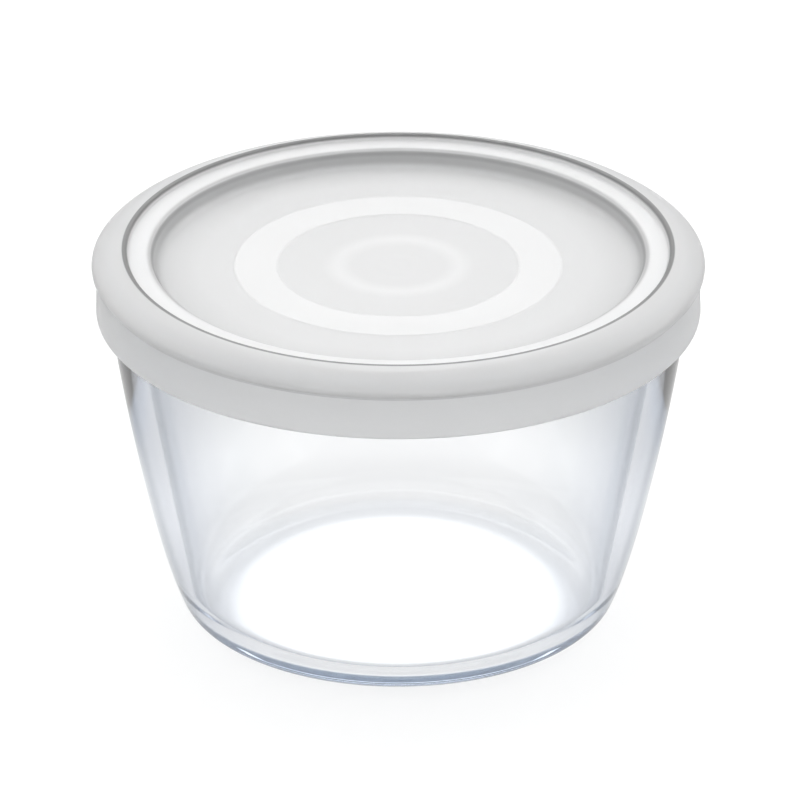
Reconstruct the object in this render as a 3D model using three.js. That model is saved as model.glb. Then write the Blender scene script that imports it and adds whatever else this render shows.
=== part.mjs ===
// Round glass storage dish with a press-on plastic lid.
// Millimetres, +Z up. The origin is the centre of the dish's foot, on the surface it stands on.
// A pair in square brackets is a point of an outline: its radius and its height.
import * as THREE from 'three';

// Dish, outside: flat foot, rounded heel, flaring wall and an upright collar below the rim.
const FOOT_RADIUS = 48;
const HEEL_CORNER_RADIUS = 62.2;
const HEEL = [64.8, 5.8];
const WALL_PULL_LOW = [71.6, 21];
const WALL_PULL_HIGH = [80.8, 65.1];
const WAIST = [85.1, 98];
const RIM_RADIUS = 86.6;
const RIM_HEIGHT = 113;

// Dish, inside: fully rounded rim, wall, well and flat floor.
const RIM_THICKNESS = 5.4;
const RIM_ROUNDING = RIM_THICKNESS / 2;
const MOUTH_RADIUS = RIM_RADIUS - RIM_THICKNESS;
const INNER_PULL_HIGH = [78.3, 88];
const INNER_PULL_LOW = [68.3, 40];
const WELL = [62.4, 17];
const WELL_CORNER_RADIUS = 59.4;
const FLOOR_RADIUS = 50;
const FLOOR_THICKNESS = 5;

// Lid, recess: flat panel with a raised ring, then a steep wall up to a flat band.
const LID_THICKNESS = 1.6;
const PANEL_RADIUS = 68;
const PANEL_HEIGHT = 109.75;
const RING_INNER_RADIUS = 35.4;
const RING_OUTER_RADIUS = 48.3;
const RING_RISE = 0.25;
const RECESS_CORNER_RADIUS = 70.6;
const RECESS_FOOT = [71.2, 111.3];
const RECESS_HEAD = [72.2, 113.2];
const BAND_CORNER_RADIUS = 72.4;
const BAND_INNER_RADIUS = 73.7;
const BAND_OUTER_RADIUS = 79.1;
const BAND_HEIGHT = 114.4;

// Lid, outside: step up from the band to the crest, rolled shoulder, bead and skirt.
const STEP_FOOT = [79.3, 114.6];
const STEP_HEAD = [79.7, 115.5];
const CREST_CORNER_RADIUS = 79.9;
const CREST_RADIUS = 80.7;
const LID_HEIGHT = 116;
const LID_RADIUS = 90;
const SHOULDER_PULL_HIGH = [84.2, 114.9];
const SHOULDER_PULL_LOW = [LID_RADIUS, 112.8];
const BEAD_HEIGHT = 109.8;
const BEAD_CORNER_HEIGHT = 108.2;
const SKIRT_TOP = [88.5, 107.7];
const SKIRT_RADIUS = 88.9;
const SKIRT_FOOT_HEIGHT = 96.1;
const SKIRT_ROUNDING = 0.8;

// Lid, underside: a groove that clears the glass rim all round, then the sealing lip inside it.
const RUNNING_GAP = 0.35;
const GROOVE_RADIUS = RIM_RADIUS + RUNNING_GAP + 0.05;
const GROOVE_TOP = RIM_HEIGHT + RUNNING_GAP;
const GROOVE_SHOULDER_HEIGHT = 110.6;
const GROOVE_SHOULDER_RADIUS = 84.2;
const SKIRT_INNER_FOOT = [SKIRT_RADIUS - LID_THICKNESS, SKIRT_FOOT_HEIGHT + 0.6];
const LIP_RADIUS = MOUTH_RADIUS - RUNNING_GAP;
const LIP_ROUNDING = 0.5;
const LIP_FOOT_HEIGHT = 109;
const LIP_TAPER = 0.3;
const LIP_FOOT_RADIUS = 80;
const LIP_HEEL = [79.4, 109.4];
const BAND_UNDER = BAND_HEIGHT - LID_THICKNESS;
const LIP_INNER_RADIUS = 79.2;
const BAND_UNDER_ROUNDING = 0.8;
const RECESS_BACK_HEAD = [73.7, 112];
const RECESS_BACK_CORNER_RADIUS = 74.1;
const RECESS_BACK_FOOT = [72.5, 109.5];
const PANEL_UNDER = PANEL_HEIGHT - LID_THICKNESS;
const PANEL_UNDER_CORNER_RADIUS = 71.9;
const PANEL_UNDER_RADIUS = 69.4;

const LATHE_SEGMENTS = 60;
const LONG_STEPS = 7;
const ROUND_STEPS = 5;
const CORNER_STEPS = 3;
const SMALL_STEPS = 2;

const at = (radius, height) => new THREE.Vector2(radius, height);

// The points of a bend from one place to the next, rounded about the corner between them.
function bend(steps, from, corner, to) {
  return new THREE.QuadraticBezierCurve(from, corner, to).getPoints(steps);
}

// The points of a long swept stretch with two pulling points.
function sweep(steps, from, pullFrom, pullTo, to) {
  return new THREE.CubicBezierCurve(from, at(...pullFrom), at(...pullTo), to).getPoints(steps);
}

// A solid of revolution about +Z from an outline that starts and ends on the axis.
function turned(name, outline, material) {
  const mesh = new THREE.Mesh(new THREE.LatheGeometry(outline, LATHE_SEGMENTS), material);
  mesh.name = name;
  mesh.rotation.x = Math.PI / 2;
  return mesh;
}

// Outside of the dish, from the centre of the foot up to the rim.
function dishOutside() {
  const collar = at(RIM_RADIUS, RIM_HEIGHT - RIM_ROUNDING);
  const rim = at(RIM_RADIUS - RIM_ROUNDING, RIM_HEIGHT);
  return [
    at(0, 0),
    ...bend(ROUND_STEPS, at(FOOT_RADIUS, 0), at(HEEL_CORNER_RADIUS, 0), at(...HEEL)),
    ...sweep(LONG_STEPS, at(...HEEL), WALL_PULL_LOW, WALL_PULL_HIGH, at(...WAIST)).slice(1),
    ...bend(CORNER_STEPS, collar, at(RIM_RADIUS, RIM_HEIGHT), rim),
  ];
}

// Inside of the dish, from the rim down to the centre of the floor.
function dishInside() {
  const rim = at(MOUTH_RADIUS + RIM_ROUNDING, RIM_HEIGHT);
  const mouth = at(MOUTH_RADIUS, RIM_HEIGHT - RIM_ROUNDING);
  const floorEdge = at(FLOOR_RADIUS, FLOOR_THICKNESS);
  const wellCorner = at(WELL_CORNER_RADIUS, FLOOR_THICKNESS);
  return [
    ...bend(CORNER_STEPS, rim, at(MOUTH_RADIUS, RIM_HEIGHT), mouth).slice(1),
    ...sweep(LONG_STEPS, mouth, INNER_PULL_HIGH, INNER_PULL_LOW, at(...WELL)).slice(1),
    ...bend(ROUND_STEPS, at(...WELL), wellCorner, floorEdge).slice(1),
    at(0, FLOOR_THICKNESS),
  ];
}

function glassBowl() {
  const glass = new THREE.MeshStandardMaterial({
    color: 0xeef3f6,
    roughness: 0.03,
    metalness: 0,
    transparent: true,
    opacity: 0.35,
  });
  return turned('glass_bowl', [...dishOutside(), ...dishInside()], glass);
}

// Top of the lid, from its centre out to the crest: panel, raised ring, recess wall, band and step.
function lidRecess() {
  const panelEdge = at(PANEL_RADIUS, PANEL_HEIGHT);
  const recessCorner = at(RECESS_CORNER_RADIUS, PANEL_HEIGHT);
  const bandCorner = at(BAND_CORNER_RADIUS, BAND_HEIGHT);
  const bandEdge = at(BAND_INNER_RADIUS, BAND_HEIGHT);
  const crestCorner = at(CREST_CORNER_RADIUS, LID_HEIGHT);
  return [
    at(0, PANEL_HEIGHT),
    at(RING_INNER_RADIUS, PANEL_HEIGHT),
    at(RING_INNER_RADIUS + RING_RISE, PANEL_HEIGHT + RING_RISE),
    at(RING_OUTER_RADIUS - RING_RISE, PANEL_HEIGHT + RING_RISE),
    at(RING_OUTER_RADIUS, PANEL_HEIGHT),
    ...bend(CORNER_STEPS, panelEdge, recessCorner, at(...RECESS_FOOT)),
    ...bend(CORNER_STEPS, at(...RECESS_HEAD), bandCorner, bandEdge),
    at(BAND_OUTER_RADIUS, BAND_HEIGHT),
    at(...STEP_FOOT),
    ...bend(SMALL_STEPS, at(...STEP_HEAD), crestCorner, at(CREST_RADIUS, LID_HEIGHT)),
  ];
}

// Outside of the lid, from the crest over the rolled shoulder and down the skirt to its foot.
function lidShoulder() {
  const crest = at(CREST_RADIUS, LID_HEIGHT);
  const bead = at(LID_RADIUS, BEAD_HEIGHT);
  const beadCorner = at(LID_RADIUS, BEAD_CORNER_HEIGHT);
  const skirtEdge = at(SKIRT_RADIUS, SKIRT_FOOT_HEIGHT + SKIRT_ROUNDING);
  const skirtCorner = at(SKIRT_RADIUS, SKIRT_FOOT_HEIGHT);
  const skirtFoot = at(SKIRT_RADIUS - SKIRT_ROUNDING, SKIRT_FOOT_HEIGHT);
  return [
    ...sweep(LONG_STEPS - 1, crest, SHOULDER_PULL_HIGH, SHOULDER_PULL_LOW, bead).slice(1),
    ...bend(CORNER_STEPS, bead, beadCorner, at(...SKIRT_TOP)).slice(1),
    ...bend(SMALL_STEPS, skirtEdge, skirtCorner, skirtFoot),
  ];
}

// The groove over the glass rim and the sealing lip inside it, from the skirt's foot inwards.
function lidGroove() {
  const grooveSide = at(GROOVE_RADIUS, GROOVE_SHOULDER_HEIGHT);
  const grooveCorner = at(GROOVE_RADIUS, GROOVE_TOP);
  const grooveShoulder = at(GROOVE_SHOULDER_RADIUS, GROOVE_TOP);
  const lipRoot = at(LIP_RADIUS + LIP_ROUNDING, GROOVE_TOP);
  const lipCorner = at(LIP_RADIUS, GROOVE_TOP);
  const lipSide = at(LIP_RADIUS, GROOVE_TOP - LIP_ROUNDING);
  const lipEnd = at(LIP_RADIUS - LIP_TAPER + 0.1, LIP_FOOT_HEIGHT + LIP_ROUNDING);
  const lipEndCorner = at(LIP_RADIUS - LIP_TAPER, LIP_FOOT_HEIGHT);
  return [
    at(...SKIRT_INNER_FOOT),
    ...bend(CORNER_STEPS + 1, grooveSide, grooveCorner, grooveShoulder),
    ...bend(SMALL_STEPS, lipRoot, lipCorner, lipSide),
    ...bend(SMALL_STEPS, lipEnd, lipEndCorner, at(LIP_FOOT_RADIUS, LIP_FOOT_HEIGHT)),
    at(...LIP_HEEL),
  ];
}

// Under the band, down the back of the recess wall and under the panel to the axis.
function lidUnderside() {
  const bandRoot = at(LIP_INNER_RADIUS, BAND_UNDER - BAND_UNDER_ROUNDING + 0.2);
  const bandCorner = at(LIP_INNER_RADIUS, BAND_UNDER);
  const bandStart = at(LIP_INNER_RADIUS - BAND_UNDER_ROUNDING, BAND_UNDER);
  const bandEnd = at(RECESS_BACK_CORNER_RADIUS + BAND_UNDER_ROUNDING, BAND_UNDER);
  const recessBackCorner = at(RECESS_BACK_CORNER_RADIUS, BAND_UNDER);
  const panelCorner = at(PANEL_UNDER_CORNER_RADIUS, PANEL_UNDER);
  const panelEdge = at(PANEL_UNDER_RADIUS, PANEL_UNDER);
  return [
    ...bend(SMALL_STEPS, bandRoot, bandCorner, bandStart),
    ...bend(SMALL_STEPS, bandEnd, recessBackCorner, at(...RECESS_BACK_HEAD)),
    ...bend(CORNER_STEPS, at(...RECESS_BACK_FOOT), panelCorner, panelEdge),
    at(0, PANEL_UNDER),
  ];
}

function lid() {
  const polyethylene = new THREE.MeshStandardMaterial({
    color: 0xe6e7e9,
    roughness: 0.38,
    metalness: 0,
  });
  const outline = [...lidRecess(), ...lidShoulder(), ...lidGroove(), ...lidUnderside()];
  return turned('lid', outline.reverse(), polyethylene);
}

const container = new THREE.Group();
container.add(glassBowl(), lid());

export default container;
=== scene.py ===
"""Round pressed-glass food dish with a press-on translucent lid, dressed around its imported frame.

Outlines are (radius, height) pairs in millimetres from the centre of the foot, and every mesh is
spun from its outline about +Z and brought to metres once, when it is made.
"""

from __future__ import annotations

import logging
import math
from dataclasses import dataclass
from enum import Enum

import bmesh
import bpy
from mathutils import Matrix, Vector
from mathutils.geometry import interpolate_bezier


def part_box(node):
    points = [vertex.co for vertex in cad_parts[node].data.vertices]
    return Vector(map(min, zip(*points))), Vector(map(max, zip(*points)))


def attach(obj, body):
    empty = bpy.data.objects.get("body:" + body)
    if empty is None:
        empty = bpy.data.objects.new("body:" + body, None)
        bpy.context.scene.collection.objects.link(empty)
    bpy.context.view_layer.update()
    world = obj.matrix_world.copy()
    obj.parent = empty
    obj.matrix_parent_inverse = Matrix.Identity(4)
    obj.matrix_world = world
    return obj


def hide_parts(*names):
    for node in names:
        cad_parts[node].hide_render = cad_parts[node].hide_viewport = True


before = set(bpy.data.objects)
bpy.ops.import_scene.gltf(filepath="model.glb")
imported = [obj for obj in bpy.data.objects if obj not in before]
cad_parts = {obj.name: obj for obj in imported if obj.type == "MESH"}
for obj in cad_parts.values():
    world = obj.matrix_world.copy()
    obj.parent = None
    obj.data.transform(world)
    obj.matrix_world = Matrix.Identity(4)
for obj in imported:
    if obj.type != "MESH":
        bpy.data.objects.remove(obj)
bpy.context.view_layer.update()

LOG = logging.getLogger("glass_dish")
MM = 0.001
MERGE_GAP = 0.001 * MM
PULL_SHARE = 2 / 3

Point = tuple[float, float]
Colour = tuple[float, float, float, float]


class Body(Enum):
    """The frame's bodies that pieces ride on."""

    DISH = "dish"
    LID = "lid"


class Slot(Enum):
    """The record's material slots."""

    GLASS = "clear_glass"
    PLASTIC = "lid_plastic"


# ---------------------------------------------------------------- shaping


class Outline:
    """A half-section drawn from the axis outwards and back, stretch by stretch."""

    def __init__(self, start: Point) -> None:
        """Starts the outline.

        Args:
            start: Radius and height of the first point, in millimetres.
        """
        self.points: list[Point] = [start]

    def line(self, *stops: Point) -> Outline:
        """Goes straight through each stop in turn.

        Args:
            stops: Radius and height of each stop.

        Returns:
            The outline itself, so that stretches can be chained.
        """
        self.points.extend(stops)
        return self

    def sweep(self, pull_a: Point, pull_b: Point, end: Point, steps: int = 24) -> Outline:
        """Follows a cubic curve from the last point to the end.

        Args:
            pull_a: Where the curve leaves towards.
            pull_b: Where it arrives from.
            end: Last point of the curve.
            steps: How many short lines make the curve.

        Returns:
            The outline itself.
        """
        flat = [Vector((*p, 0.0)) for p in (self.points[-1], pull_a, pull_b, end)]
        curve = interpolate_bezier(*flat, steps + 1)
        self.points.extend((p.x, p.y) for p in curve[1:])
        return self

    def bend(self, corner: Point, end: Point, steps: int = 10) -> Outline:
        """Rounds a corner between the last point and the end.

        Args:
            corner: The sharp corner that is rounded off.
            end: Last point of the bend.
            steps: How many short lines make the bend.

        Returns:
            The outline itself.
        """
        sharp = Vector(corner)
        pulls = [tuple(Vector(p).lerp(sharp, PULL_SHARE)) for p in (self.points[-1], end)]
        return self.sweep(*pulls, end, steps)


def spun(name: str, outline: Outline, steps: int) -> bpy.types.Object:
    """Spins an outline into a closed solid of revolution about +Z.

    Args:
        name: The new object's name.
        outline: Half-section that starts and ends on the axis.
        steps: How many steps make the full turn.

    Returns:
        The object, smooth shaded, with its place in its mesh.
    """
    shell = bmesh.new()
    verts = [shell.verts.new((r * MM, 0.0, h * MM)) for r, h in outline.points]
    edges = [shell.edges.new(pair) for pair in zip(verts, verts[1:])]
    bmesh.ops.spin(
        shell,
        geom=verts + edges,
        cent=(0.0, 0.0, 0.0),
        axis=(0.0, 0.0, 1.0),
        angle=2.0 * math.pi,
        steps=steps,
        use_merge=True,
    )
    bmesh.ops.remove_doubles(shell, verts=shell.verts, dist=MERGE_GAP)
    bmesh.ops.recalc_face_normals(shell, faces=shell.faces)
    for face in shell.faces:
        face.smooth = True
    mesh = bpy.data.meshes.new(name)
    shell.to_mesh(mesh)
    shell.free()
    obj = bpy.data.objects.new(name, mesh)
    bpy.context.collection.objects.link(obj)
    return obj


# ---------------------------------------------------------------- shader helpers


def node(tree: bpy.types.NodeTree, kind: str, **settings: object) -> bpy.types.Node:
    """Adds a node and sets its plain properties.

    Args:
        tree: Node tree that gets the node.
        kind: The node's type name.
        settings: Property names with their values.

    Returns:
        The new node.
    """
    made = tree.nodes.new(kind)
    for name, value in settings.items():
        setattr(made, name, value)
    return made


def wire(tree: bpy.types.NodeTree, *pairs: tuple[bpy.types.NodeSocket, bpy.types.NodeSocket]) -> None:
    """Links each pair of sockets, output first.

    Args:
        tree: Node tree that holds the sockets.
        pairs: Output and input sockets.
    """
    for output, into in pairs:
        tree.links.new(output, into)


def new_group(
    name: str, inputs: dict[str, float], outputs: list[str]
) -> tuple[bpy.types.NodeTree, bpy.types.Node, bpy.types.Node]:
    """Starts a shader node group with float sockets and a Vector input.

    Args:
        name: The group's name.
        inputs: Names and default values of the float inputs.
        outputs: Names of the float outputs.

    Returns:
        The group tree, its input node and its output node.
    """
    tree = bpy.data.node_groups.new(name, "ShaderNodeTree")
    tree.interface.new_socket("Vector", in_out="INPUT", socket_type="NodeSocketVector")
    for label, value in inputs.items():
        socket = tree.interface.new_socket(label, in_out="INPUT", socket_type="NodeSocketFloat")
        socket.default_value = value
    for label in outputs:
        tree.interface.new_socket(label, in_out="OUTPUT", socket_type="NodeSocketFloat")
    return tree, node(tree, "NodeGroupInput"), node(tree, "NodeGroupOutput")


def placed(
    tree: bpy.types.NodeTree, group: bpy.types.NodeTree, **values: float
) -> bpy.types.Node:
    """Places a node group on Object coordinates.

    Args:
        tree: Material tree that gets the group.
        group: The group to place.
        values: Input names, with underscores for spaces, and their values.

    Returns:
        The group node.
    """
    coords = node(tree, "ShaderNodeTexCoord")
    made = node(tree, "ShaderNodeGroup", node_tree=group)
    wire(tree, (coords.outputs["Object"], made.inputs["Vector"]))
    for name, value in values.items():
        made.inputs[name.replace("_", " ")].default_value = value
    return made


def waviness_group() -> bpy.types.NodeTree:
    """Soft unevenness of a moulded surface: broad waves with a finer ripple on them.

    Returns:
        A group that puts out a Height in metres.
    """
    tree, entry, leave = new_group(
        "moulded_waviness",
        {"Wave Scale": 20.0, "Fine Scale": 160.0, "Wave Height": 1e-5, "Fine Height": 1e-6},
        ["Height"],
    )
    heights = []
    for scale, height in (("Wave Scale", "Wave Height"), ("Fine Scale", "Fine Height")):
        noise = node(tree, "ShaderNodeTexNoise")
        noise.inputs["Detail"].default_value = 2.0
        scaled = node(tree, "ShaderNodeMath", operation="MULTIPLY")
        wire(
            tree,
            (entry.outputs["Vector"], noise.inputs["Vector"]),
            (entry.outputs[scale], noise.inputs["Scale"]),
            (noise.outputs["Fac"], scaled.inputs[0]),
            (entry.outputs[height], scaled.inputs[1]),
        )
        heights.append(scaled)
    total = node(tree, "ShaderNodeMath", operation="ADD")
    wire(
        tree,
        (heights[0].outputs[0], total.inputs[0]),
        (heights[1].outputs[0], total.inputs[1]),
        (total.outputs[0], leave.inputs["Height"]),
    )
    return tree


def zone_group() -> bpy.types.NodeTree:
    """Ring-shaped zone about +Z, between two radii, with soft edges.

    Returns:
        A group that puts out a Mask from 0 to 1.
    """
    tree, entry, leave = new_group(
        "ring_zone", {"Inner": 0.03, "Outer": 0.05, "Softness": 0.0005}, ["Mask"]
    )
    flat = node(tree, "ShaderNodeVectorMath", operation="MULTIPLY")
    flat.inputs[1].default_value = (1.0, 1.0, 0.0)
    radius = node(tree, "ShaderNodeVectorMath", operation="LENGTH")
    wire(
        tree,
        (entry.outputs["Vector"], flat.inputs[0]),
        (flat.outputs["Vector"], radius.inputs[0]),
    )
    sides = []
    for edge, sign in (("Inner", 1.0), ("Outer", -1.0)):
        depth = node(tree, "ShaderNodeMath", operation="SUBTRACT")
        reach = node(tree, "ShaderNodeMath", operation="DIVIDE")
        side = node(tree, "ShaderNodeMath", operation="MULTIPLY_ADD", use_clamp=True)
        side.inputs[1].default_value = sign * 0.5
        side.inputs[2].default_value = 0.5
        wire(
            tree,
            (radius.outputs["Value"], depth.inputs[0]),
            (entry.outputs[edge], depth.inputs[1]),
            (depth.outputs[0], reach.inputs[0]),
            (entry.outputs["Softness"], reach.inputs[1]),
            (reach.outputs[0], side.inputs[0]),
        )
        sides.append(side)
    both = node(tree, "ShaderNodeMath", operation="MULTIPLY")
    wire(
        tree,
        (sides[0].outputs[0], both.inputs[0]),
        (sides[1].outputs[0], both.inputs[1]),
        (both.outputs[0], leave.inputs["Mask"]),
    )
    return tree


def fresh_material(name: str) -> tuple[bpy.types.Material, bpy.types.Node, bpy.types.Node]:
    """Makes a material with an empty tree, a Principled shader and an output.

    Args:
        name: The material's name.

    Returns:
        The material, its Principled node and its output node.
    """
    material = bpy.data.materials.new(name)
    material.use_nodes = True
    tree = material.node_tree
    tree.nodes.clear()
    shader = node(tree, "ShaderNodeBsdfPrincipled")
    output = node(tree, "ShaderNodeOutputMaterial")
    wire(tree, (shader.outputs["BSDF"], output.inputs["Surface"]))
    return material, shader, output


def ramp(
    tree: bpy.types.NodeTree, stops: tuple[tuple[float, Colour], ...]
) -> bpy.types.Node:
    """Adds a colour ramp that eases from stop to stop.

    Args:
        tree: Material tree that gets the ramp.
        stops: Place and colour of each stop, lowest first.

    Returns:
        The ramp node.
    """
    made = node(tree, "ShaderNodeValToRGB")
    made.color_ramp.interpolation = "EASE"
    for _ in stops[2:]:
        made.color_ramp.elements.new(0.5)
    for stop, (place, colour) in zip(made.color_ramp.elements, stops):
        stop.position = place
        stop.color = colour
    return made


def add_relief(tree: bpy.types.NodeTree, shader: bpy.types.Node, waves: bpy.types.Node) -> None:
    """Feeds a Height in metres to a shader's Normal.

    Args:
        tree: Material tree.
        shader: Principled node.
        waves: Group node with a Height output.
    """
    bump = node(tree, "ShaderNodeBump")
    bump.inputs["Distance"].default_value = 1.0
    wire(
        tree,
        (waves.outputs["Height"], bump.inputs["Height"]),
        (bump.outputs["Normal"], shader.inputs["Normal"]),
    )


# ---------------------------------------------------------------- finishes


def grey(level: float) -> Colour:
    """A neutral colour of one level."""
    return (level, level, level, 1.0)


@dataclass(frozen=True)
class Waviness:
    """Unevenness of one moulded surface: scales in waves per metre, heights in metres."""

    scale: float
    fine_scale: float
    height: float
    fine_height: float

    def dress(
        self, tree: bpy.types.NodeTree, shader: bpy.types.Node, waviness: bpy.types.NodeTree
    ) -> None:
        """Gives a shader this unevenness.

        Args:
            tree: Material tree that holds the shader.
            shader: Principled node.
            waviness: The moulded waviness group.
        """
        waves = placed(
            tree,
            waviness,
            Wave_Scale=self.scale,
            Fine_Scale=self.fine_scale,
            Wave_Height=self.height,
            Fine_Height=self.fine_height,
        )
        add_relief(tree, shader, waves)


@dataclass(frozen=True)
class PressedGlass:
    """Clear fire-polished glass, faintly wavy, with a cool tint where it is thick, and painted cool
    shade that darkens it where it is seen edge-on.

    Each stop of painted edge shade is how far the surface turns away from the eye, 0 to 1, with the
    colour painted there.
    """

    # Painted shade: the glass's colour darkens to a cool near-black towards its outline, where it is
    # seen edge-on.
    painted_edge_shade: tuple[tuple[float, Colour], ...] = (
        (0.22, (1.00, 1.00, 1.00, 1.0)),
        (0.34, (0.93, 0.94, 0.95, 1.0)),
        (0.47, (0.86, 0.875, 0.90, 1.0)),
        (0.60, (0.72, 0.745, 0.79, 1.0)),
        (0.72, (0.52, 0.555, 0.62, 1.0)),
        (0.82, (0.18, 0.21, 0.26, 1.0)),
        (1.00, (0.14, 0.17, 0.22, 1.0)),
    )
    depth_tint: Colour = (0.62, 0.73, 0.87, 1.0)
    depth_density: float = 6.0
    ior: float = 1.47
    roughness: float = 0.0
    waves: Waviness = Waviness(scale=14.0, fine_scale=60.0, height=1.2e-5, fine_height=9.6e-7)
    shadow: Colour = (0.97, 0.98, 0.985, 1.0)

    def material(self, waviness: bpy.types.NodeTree) -> bpy.types.Material:
        """Builds the glass.

        Args:
            waviness: The moulded waviness group.

        Returns:
            The material.
        """
        material, shader, output = fresh_material("pressed_glass")
        tree = material.node_tree
        # Painted shade: the base colour follows the painted edge shade stops by how edge-on the
        # surface is.
        facing = node(tree, "ShaderNodeLayerWeight")
        edge_shade_ramp = ramp(tree, self.painted_edge_shade)
        wire(
            tree,
            (facing.outputs["Facing"], edge_shade_ramp.inputs["Fac"]),
            (edge_shade_ramp.outputs["Color"], shader.inputs["Base Color"]),
        )
        shader.inputs["Roughness"].default_value = self.roughness
        shader.inputs["IOR"].default_value = self.ior
        shader.inputs["Transmission Weight"].default_value = 1.0
        depth = node(tree, "ShaderNodeVolumeAbsorption")
        depth.inputs["Color"].default_value = self.depth_tint
        depth.inputs["Density"].default_value = self.depth_density
        self.waves.dress(tree, shader, waviness)
        open_air = node(tree, "ShaderNodeBsdfTransparent")
        open_air.inputs["Color"].default_value = self.shadow
        ray = node(tree, "ShaderNodeLightPath")
        either = node(tree, "ShaderNodeMixShader")
        wire(
            tree,
            (ray.outputs["Is Shadow Ray"], either.inputs["Fac"]),
            (shader.outputs["BSDF"], either.inputs[1]),
            (open_air.outputs["BSDF"], either.inputs[2]),
            (either.outputs["Shader"], output.inputs["Surface"]),
            (depth.outputs["Volume"], output.inputs["Volume"]),
        )
        return material


@dataclass(frozen=True)
class ToneAndLightRing:
    """A ring of the lid whose colour is painted a little paler or darker, mostly as painted light and
    shade at its steps, bead and skirt. Radii in metres.
    """

    inner: float
    outer: float
    softness: float
    level: float


@dataclass(frozen=True)
class CloudyPolyethylene:
    """Soft natural polyethylene that lets light through, more where it is thin, with rings of painted
    light and shade in its colour.
    """

    name: str
    level: float
    clearness: float
    roughness: float
    # Rings of painted light and shade, and the plastic's own tone, laid over its level.
    tones_and_painted_light: tuple[ToneAndLightRing, ...]
    ior: float = 1.51
    cloudiness: float = 0.75
    depth: float = 0.004
    waves: Waviness = Waviness(scale=22.0, fine_scale=900.0, height=3e-5, fine_height=3e-6)

    def material(
        self, waviness: bpy.types.NodeTree, zone: bpy.types.NodeTree
    ) -> bpy.types.Material:
        """Builds the plastic.

        Args:
            waviness: The moulded waviness group.
            zone: The ring zone group.

        Returns:
            The material.
        """
        material, shader, _ = fresh_material(self.name)
        tree = material.node_tree
        shader.inputs["Roughness"].default_value = self.roughness
        shader.inputs["IOR"].default_value = self.ior
        shader.inputs["Transmission Weight"].default_value = self.clearness
        shader.inputs["Subsurface Weight"].default_value = self.cloudiness
        shader.inputs["Subsurface Radius"].default_value = (1.0, 1.0, 1.0)
        shader.inputs["Subsurface Scale"].default_value = self.depth
        mixes = []
        # Each ring paints the base colour paler or darker: mostly painted light and shade.
        for ring_tone_or_light in self.tones_and_painted_light:
            ring = placed(
                tree, zone, Inner=ring_tone_or_light.inner, Outer=ring_tone_or_light.outer, Softness=ring_tone_or_light.softness
            )
            mix = node(tree, "ShaderNodeMix", data_type="RGBA")
            mix.inputs["A"].default_value = grey(self.level)
            mix.inputs["B"].default_value = grey(ring_tone_or_light.level)
            wire(tree, (ring.outputs["Mask"], mix.inputs["Factor"]))
            if mixes:
                wire(tree, (mixes[-1].outputs["Result"], mix.inputs["A"]))
            mixes.append(mix)
        wire(tree, (mixes[-1].outputs["Result"], shader.inputs["Base Color"]))
        self.waves.dress(tree, shader, waviness)
        return material


PANEL_PLASTIC = CloudyPolyethylene(
    name="thin_polyethylene",
    level=0.79,
    clearness=0.60,
    roughness=0.4,
    tones_and_painted_light=(
        # Painted highlight: a paler ring on the gate ripple's swell at about 18 mm.
        ToneAndLightRing(0.0155, 0.0205, 0.0020, 0.86),
        # Painted shade: the outer panel and the recess wall darkened towards the recess.
        ToneAndLightRing(0.0640, 0.0800, 0.0060, 0.70),
        # Painted shade: a dark line along the recess's top edge.
        ToneAndLightRing(0.0719, 0.0726, 0.0002, 0.50),
        # Painted light: the skirt painted paler, standing in for light coming through it.
        ToneAndLightRing(0.0868, 0.1000, 0.0002, 0.96),
    ),
)
RIM_PLASTIC = CloudyPolyethylene(
    name="thick_polyethylene",
    level=0.80,
    clearness=0.44,
    roughness=0.42,
    tones_and_painted_light=(
        ToneAndLightRing(0.0345, 0.0493, 0.0004, 0.80),
        # Painted light: the band between the recess and the crest painted paler.
        ToneAndLightRing(0.0740, 0.0796, 0.0004, 0.93),
        # Painted shade: a dark line where the band turns down into the recess.
        ToneAndLightRing(0.0720, 0.0736, 0.0003, 0.60),
        # Painted shade: a near-black line in the step under the crest and over its top.
        ToneAndLightRing(0.0796, 0.0811, 0.00015, 0.22),
        # Painted shade: the bead and the outer part of the shoulder darkened.
        ToneAndLightRing(0.0870, 0.1000, 0.0030, 0.71),
    ),
)


# ---------------------------------------------------------------- sub-assemblies


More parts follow.
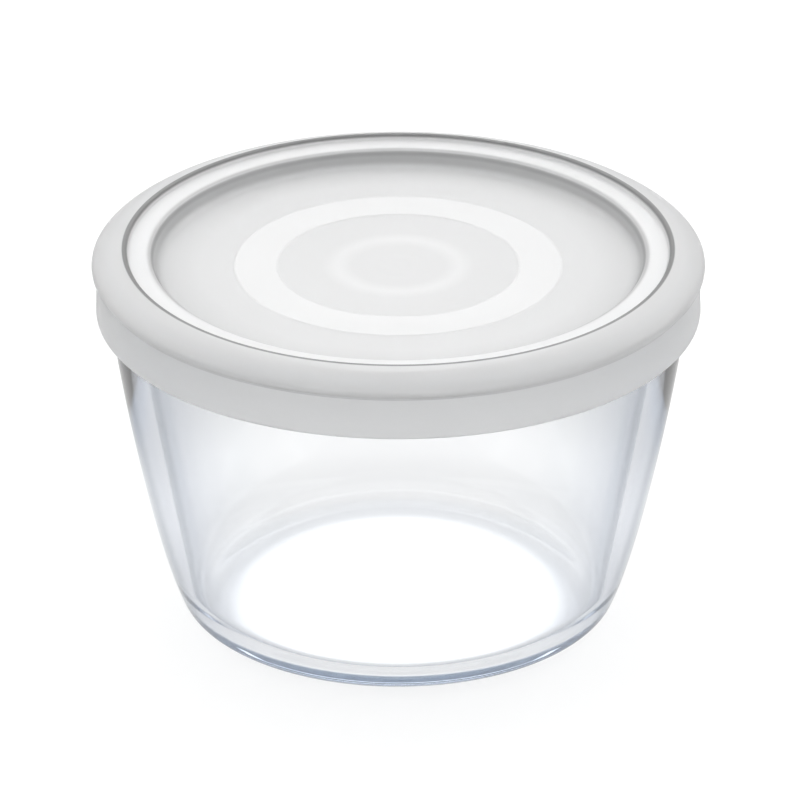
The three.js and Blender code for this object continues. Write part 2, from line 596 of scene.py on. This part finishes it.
@dataclass
class Dish:
    """The one-piece glass dish. Sizes in millimetres, in the order that its outline meets them."""

    rim_radius: float
    rim_height: float
    foot_radius: float = 48.0
    heel_corner: float = 62.2
    heel: Point = (64.8, 5.8)
    outer_pulls: tuple[Point, Point] = ((71.6, 21.0), (80.8, 65.1))
    waist: Point = (85.1, 98.0)
    flare_pull: Point = (85.7, 102.6)
    flare_end: float = 107.0
    rim_thickness: float = 5.4
    inner_pulls: tuple[Point, Point] = ((78.3, 88.0), (68.3, 40.0))
    well: Point = (62.4, 17.0)
    well_corner: float = 59.4
    floor_radius: float = 50.0
    floor_thickness: float = 5.0
    turn_steps: int = 256

    @classmethod
    def from_frame(cls) -> Dish:
        """Takes the rim's size from the frame."""
        _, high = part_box("glass_bowl")
        return cls(rim_radius=high.x / MM, rim_height=high.z / MM)

    def outline(self) -> Outline:
        """Draws the half-section: foot, outside, rim, inside, floor."""
        rounding = self.rim_thickness / 2
        mouth_radius = self.rim_radius - self.rim_thickness
        shoulder = self.rim_height - rounding
        crown = (self.rim_radius - rounding, self.rim_height)
        return (
            Outline((0.0, 0.0))
            .line((self.foot_radius / 2, 0.0), (self.foot_radius, 0.0))
            .bend((self.heel_corner, 0.0), self.heel, steps=22)
            .sweep(*self.outer_pulls, self.waist, steps=40)
            .sweep(
                self.flare_pull,
                (self.rim_radius, self.flare_end),
                (self.rim_radius, shoulder),
                steps=10,
            )
            .bend((self.rim_radius, self.rim_height), crown, steps=8)
            .bend((mouth_radius, self.rim_height), (mouth_radius, shoulder), steps=8)
            .sweep(*self.inner_pulls, self.well, steps=44)
            .bend(
                (self.well_corner, self.floor_thickness),
                (self.floor_radius, self.floor_thickness),
                steps=22,
            )
            .line((self.floor_radius / 2, self.floor_thickness), (0.0, self.floor_thickness))
        )

    def build(self) -> bpy.types.Object:
        """Makes the glass mesh."""
        return spun("dish_glass", self.outline(), self.turn_steps)

    def dress(self, glass: bpy.types.Material) -> bpy.types.Object:
        """Builds the dish, gives it its finish and ties it to the frame.

        Args:
            glass: The glass finish.

        Returns:
            The dish.
        """
        piece = self.build()
        piece.data.materials.append(glass)
        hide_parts("glass_bowl")
        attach(piece, Body.DISH.value)
        return piece


@dataclass
class Ripple:
    """A low round swell left about the moulding gate. Sizes in millimetres."""

    radius: float
    width: float
    rise: float

    def height(self, radius: float) -> float:
        """How much the swell lifts the panel at a radius."""
        return self.rise * math.exp(-(((radius - self.radius) / self.width) ** 2))


@dataclass
class Lid:
    """The one-piece press-on lid. Sizes in millimetres, in the order that its outline meets them."""

    radius: float
    top: float
    skirt_foot: float
    thickness: float = 1.6
    panel: float = 109.75
    ripples: tuple[Ripple, ...] = (Ripple(18.0, 3.2, 0.14), Ripple(5.0, 1.6, 0.10))
    ripple_steps: int = 70
    ripple_margin: float = 0.6
    ring_inner: float = 35.4
    ring_outer: float = 48.3
    ring_rise: float = 0.25
    ring_slope: float = 0.4
    ring_round: float = 0.3
    panel_middle: float = 58.0
    panel_radius: float = 68.0
    recess_corner: float = 70.6
    recess_foot: Point = (71.2, 111.3)
    recess_edge: Point = (72.2, 113.2)
    band: float = 114.4
    band_corner: float = 72.7
    band_inner: float = 75.4
    band_middle: float = 76.5
    band_outer: float = 78.9
    crest_corner: float = 79.3
    crest_foot: Point = (79.4, 114.9)
    crest_edge: Point = (79.7, 115.4)
    crest_shoulder: float = 79.9
    crest: float = 80.7
    shoulder_pull: Point = (84.2, 114.9)
    shoulder_end: float = 112.8
    bead: float = 110.9
    bead_corner: float = 109.7
    bead_foot: Point = (88.9, 109.3)
    skirt_corner: Point = (88.5, 109.1)
    skirt_head: Point = (88.5, 108.4)
    skirt_radius: float = 88.9
    skirt_draft: float = 0.05
    skirt_round: float = 1.0
    skirt_inner_round: float = 0.7
    skirt_inner_corner: float = 87.4
    groove_radius: float = 87.0
    groove_shoulder: float = 110.6
    groove_top: float = 113.35
    groove_outer: float = 84.2
    lip_outer: float = 80.85
    lip_round: float = 0.5
    lip_draft: float = 0.2
    lip_outer_corner: float = 80.55
    lip_foot: float = 109.0
    lip_middle: float = 80.0
    lip_inner_corner: float = 79.4
    lip_side: float = 79.35
    lip_root: Point = (79.2, 112.2)
    band_under_outer: float = 78.4
    band_under_inner: float = 74.9
    wall_corner: float = 74.1
    wall_head: Point = (73.7, 112.0)
    wall_foot: Point = (72.5, 109.5)
    panel_corner: float = 71.9
    panel_under_radius: float = 69.4
    panel_under_steps: tuple[float, ...] = (50.0, 25.0, 0.0)
    thick_radius: float = 73.0
    turn_steps: int = 256

    @classmethod
    def from_frame(cls) -> Lid:
        """Takes the lid's radius, top and lowest edge from the frame."""
        low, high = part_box("lid")
        return cls(radius=high.x / MM, top=high.z / MM, skirt_foot=low.z / MM)

    def gate_ripple(self) -> list[Point]:
        """Draws the ripples left round the moulding gate, from the axis out to the raised ring."""
        reach = self.ring_inner - self.ripple_margin
        radii = [reach * step / self.ripple_steps for step in range(self.ripple_steps)]
        return [(r, self.panel + sum(swell.height(r) for swell in self.ripples)) for r in radii]

    def raised_ring(self, outline: Outline) -> Outline:
        """Carries an outline on over the raised ring, whose four edges are slightly rounded.

        Args:
            outline: Outline that has come to the panel inside the ring.

        Returns:
            The same outline, back on the panel outside the ring.
        """
        low, middle, high = (self.panel + self.ring_rise * part for part in (0.0, 0.5, 1.0))
        inner, outer = self.ring_inner, self.ring_outer
        slope, rounding = self.ring_slope, self.ring_round
        return (
            outline.line((inner - rounding, low))
            .bend((inner, low), (inner + slope / 2, middle), steps=3)
            .bend((inner + slope, high), (inner + slope + rounding, high), steps=3)
            .line((outer - slope - rounding, high))
            .bend((outer - slope, high), (outer - slope / 2, middle), steps=3)
            .bend((outer, low), (outer + rounding, low), steps=3)
        )

    def top_side(self) -> Outline:
        """Draws the top from its centre out to the crest."""
        ripple = self.gate_ripple()
        return (
            self.raised_ring(Outline(ripple[0]).line(*ripple[1:]))
            .line((self.panel_middle, self.panel), (self.panel_radius, self.panel))
            .bend((self.recess_corner, self.panel), self.recess_foot, steps=10)
            .line(self.recess_edge)
            .bend((self.band_corner, self.band), (self.band_inner, self.band), steps=10)
            .line((self.band_middle, self.band), (self.band_outer, self.band))
            .bend((self.crest_corner, self.band), self.crest_foot, steps=5)
            .line(self.crest_edge)
            .bend((self.crest_shoulder, self.top), (self.crest, self.top), steps=6)
        )

    def outside(self) -> Outline:
        """Carries the top on over the shoulder, the bead and the skirt's rounded foot."""
        skirt, foot = self.skirt_radius, self.skirt_foot
        inner_foot = (skirt - self.thickness, foot + self.skirt_inner_round)
        return (
            self.top_side()
            .sweep(
                self.shoulder_pull,
                (self.radius, self.shoulder_end),
                (self.radius, self.bead),
                steps=28,
            )
            .bend((self.radius, self.bead_corner), self.bead_foot, steps=8)
            .bend(self.skirt_corner, self.skirt_head, steps=4)
            .line((skirt - self.skirt_draft, foot + self.skirt_round))
            .bend((skirt, foot), (skirt - self.thickness / 2, foot), steps=8)
            .bend((self.skirt_inner_corner, foot), inner_foot, steps=8)
        )

    def outline(self) -> Outline:
        """Draws the whole half-section: outside, groove over the rim, sealing lip, underside."""
        groove, groove_top = self.groove_radius, self.groove_top
        lip, lip_foot, rounding = self.lip_outer, self.lip_foot, self.lip_round
        band_under = self.band - self.thickness
        under = self.panel - self.thickness
        return (
            self.outside()
            .line((groove, self.groove_shoulder))
            .bend((groove, groove_top), (self.groove_outer, groove_top), steps=10)
            .line((lip + rounding, groove_top))
            .bend((lip, groove_top), (lip, groove_top - rounding), steps=5)
            .line((lip - self.lip_draft, lip_foot + rounding))
            .bend((self.lip_outer_corner, lip_foot), (self.lip_middle, lip_foot), steps=6)
            .bend((self.lip_inner_corner, lip_foot), (self.lip_side, lip_foot + rounding), steps=6)
            .line(self.lip_root)
            .bend((self.lip_root[0], band_under), (self.band_under_outer, band_under), steps=6)
            .line((self.band_under_inner, band_under))
            .bend((self.wall_corner, band_under), self.wall_head, steps=6)
            .line(self.wall_foot)
            .bend((self.panel_corner, under), (self.panel_under_radius, under), steps=8)
            .line(*((radius, under) for radius in self.panel_under_steps))
        )

    def build(self) -> bpy.types.Object:
        """Makes the lid mesh."""
        return spun("lid_shell", self.outline(), self.turn_steps)

    def dress(self, thin: bpy.types.Material, thick: bpy.types.Material) -> bpy.types.Object:
        """Builds the lid, gives it its finishes and ties it to the frame.

        Args:
            thin: Finish of the panel and of the skirt.
            thick: Finish of the frosted ring, the band, the crest and the shoulder.

        Returns:
            The lid.
        """
        piece = self.build()
        piece.data.materials.append(thin)
        piece.data.materials.append(thick)
        for face in piece.data.polygons:
            radius = face.center.xy.length / MM
            on_ring = self.ring_inner < radius < self.ring_outer
            on_top = face.center.z / MM > self.panel - self.thickness / 2
            on_rim = radius > self.thick_radius and face.center.z / MM > self.skirt_head[1]
            face.material_index = int((on_ring and on_top) or on_rim)
        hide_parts("lid")
        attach(piece, Body.LID.value)
        return piece


# ---------------------------------------------------------------- studio


@dataclass
class Studio:
    """A pale floor, soft light from all round and a long-lens camera.

    Sizes are in metres, the lens and its sensor in millimetres, the camera's elevation in
    degrees. The pool is the floor's glow at each distance from the middle, which lights the
    dish and shows through its glass, while the camera itself sees an even floor. The sky rises
    from its low level at the horizon to its high one at sky_height, where 1 is overhead, times
    a share that goes from sky_front to sky_back. The camera itself sees it at sky_seen.
    """

    floor_half: float = 30.0
    floor_gap: float = 0.0002
    floor_seen: float = 0.3
    floor_glow: float = 0.71
    floor_lighting: float = 0.15
    floor_roughness: float = 0.9
    pool: tuple[Point, ...] = (
        (0.046, 1.20),
        (0.052, 0.74),
        (0.075, 0.76),
        (0.105, 0.86),
        (0.150, 0.62),
        (0.260, 0.62),
        (0.420, 0.92),
        (0.900, 0.40),
    )
    camera_distance: float = 3.0
    camera_elevation: float = 24.95
    eye_height: float = 0.115
    aim: Point = (0.0005, 0.0659)
    lens: float = 460.3
    sensor: float = 36.0
    clip: Point = (0.1, 100.0)
    bounces: int = 32
    sky_height: float = 0.8
    sky_low: float = 0.34
    sky_high: float = 2.3
    sky_seen: float = 1.25
    sky_front: float = 0.3
    sky_back: float = 1.5

    def lay_floor(self) -> None:
        """Lays the floor just under the foot."""
        slab = bmesh.new()
        bmesh.ops.create_grid(slab, x_segments=1, y_segments=1, size=self.floor_half)
        bmesh.ops.translate(slab, verts=slab.verts, vec=(0.0, 0.0, -self.floor_gap))
        mesh = bpy.data.meshes.new("floor")
        slab.to_mesh(mesh)
        slab.free()
        floor = bpy.data.objects.new("floor", mesh)
        bpy.context.collection.objects.link(floor)
        material, seen, output = fresh_material("studio_floor")
        tree = material.node_tree
        lighting = node(tree, "ShaderNodeBsdfPrincipled")
        for shader, colour in ((seen, self.floor_seen), (lighting, self.floor_lighting)):
            shader.inputs["Base Color"].default_value = grey(colour)
            shader.inputs["Roughness"].default_value = self.floor_roughness
            shader.inputs["Specular IOR Level"].default_value = 0.0
            shader.inputs["Emission Strength"].default_value = 1.0
        seen.inputs["Emission Color"].default_value = grey(self.floor_glow)
        coords = node(tree, "ShaderNodeTexCoord")
        radius = node(tree, "ShaderNodeVectorMath", operation="LENGTH")
        pool = ramp(tree, tuple((reach, grey(level)) for reach, level in self.pool))
        ray = node(tree, "ShaderNodeLightPath")
        either = node(tree, "ShaderNodeMixShader")
        wire(
            tree,
            (coords.outputs["Object"], radius.inputs[0]),
            (radius.outputs["Value"], pool.inputs["Fac"]),
            (pool.outputs["Color"], lighting.inputs["Emission Color"]),
            (ray.outputs["Is Camera Ray"], either.inputs["Fac"]),
            (lighting.outputs["BSDF"], either.inputs[1]),
            (seen.outputs["BSDF"], either.inputs[2]),
            (either.outputs["Shader"], output.inputs["Surface"]),
        )
        mesh.materials.append(material)

    def light_sky(self) -> None:
        """Surrounds the scene with a pale sky whose light fades towards the horizon."""
        world = bpy.data.worlds.new("studio_sky")
        bpy.context.scene.world = world
        world.use_nodes = True
        tree = world.node_tree
        tree.nodes.clear()
        coords = node(tree, "ShaderNodeTexCoord")
        parts = node(tree, "ShaderNodeSeparateXYZ")
        height = node(tree, "ShaderNodeMapRange", interpolation_type="SMOOTHSTEP")
        across = node(tree, "ShaderNodeMapRange")
        for fade, ends in (
            (height, (0.0, self.sky_height, self.sky_low, self.sky_high)),
            (across, (-1.0, 1.0, self.sky_front, self.sky_back)),
        ):
            for label, value in zip(("From Min", "From Max", "To Min", "To Max"), ends):
                fade.inputs[label].default_value = value
        level = node(tree, "ShaderNodeMath", operation="MULTIPLY")
        ray = node(tree, "ShaderNodeLightPath")
        strength = node(tree, "ShaderNodeMix", data_type="FLOAT")
        strength.inputs["B"].default_value = self.sky_seen
        sky = node(tree, "ShaderNodeBackground")
        output = node(tree, "ShaderNodeOutputWorld")
        wire(
            tree,
            (coords.outputs["Generated"], parts.inputs["Vector"]),
            (parts.outputs["Z"], height.inputs["Value"]),
            (parts.outputs["Y"], across.inputs["Value"]),
            (height.outputs["Result"], level.inputs[0]),
            (across.outputs["Result"], level.inputs[1]),
            (ray.outputs["Is Camera Ray"], strength.inputs["Factor"]),
            (level.outputs[0], strength.inputs["A"]),
            (strength.outputs["Result"], sky.inputs["Strength"]),
            (sky.outputs["Background"], output.inputs["Surface"]),
        )

    def set_camera(self) -> None:
        """Puts the camera at its height and distance, aimed a little over half way up the dish."""
        slope = math.radians(self.camera_elevation)
        eye = Vector((
            0.0,
            -self.camera_distance * math.cos(slope),
            self.eye_height + self.camera_distance * math.sin(slope),
        ))
        target = Vector((self.aim[0], 0.0, self.aim[1]))
        lens = bpy.data.cameras.new("camera")
        lens.lens = self.lens
        lens.sensor_width = self.sensor
        lens.clip_start, lens.clip_end = self.clip
        camera = bpy.data.objects.new("camera", lens)
        camera.location = eye
        camera.rotation_euler = (target - eye).to_track_quat("-Z", "Y").to_euler()
        bpy.context.collection.objects.link(camera)
        bpy.context.scene.camera = camera

    def follow_light(self) -> None:
        """Lets light bounce many times, as it does along the inside of thick glass."""
        cycles = bpy.context.scene.cycles
        cycles.max_bounces = self.bounces
        cycles.glossy_bounces = self.bounces
        cycles.transmission_bounces = self.bounces

    def build(self) -> None:
        """Sets up the whole studio."""
        self.follow_light()
        self.lay_floor()
        self.light_sky()
        self.set_camera()
        bpy.context.scene.view_settings.view_transform = "Standard"


def main() -> None:
    """Builds the dish, the lid and the studio in order."""
    logging.basicConfig(level=logging.INFO, format="%(name)s: %(message)s")
    waviness, zone = waviness_group(), zone_group()
    dish = Dish.from_frame().dress(PressedGlass().material(waviness))
    LOG.info("dish: %d faces", len(dish.data.polygons))
    plastics = [finish.material(waviness, zone) for finish in (PANEL_PLASTIC, RIM_PLASTIC)]
    lid = Lid.from_frame().dress(*plastics)
    LOG.info("lid: %d faces", len(lid.data.polygons))
    Studio().build()


if __name__ == "__main__":
    main()
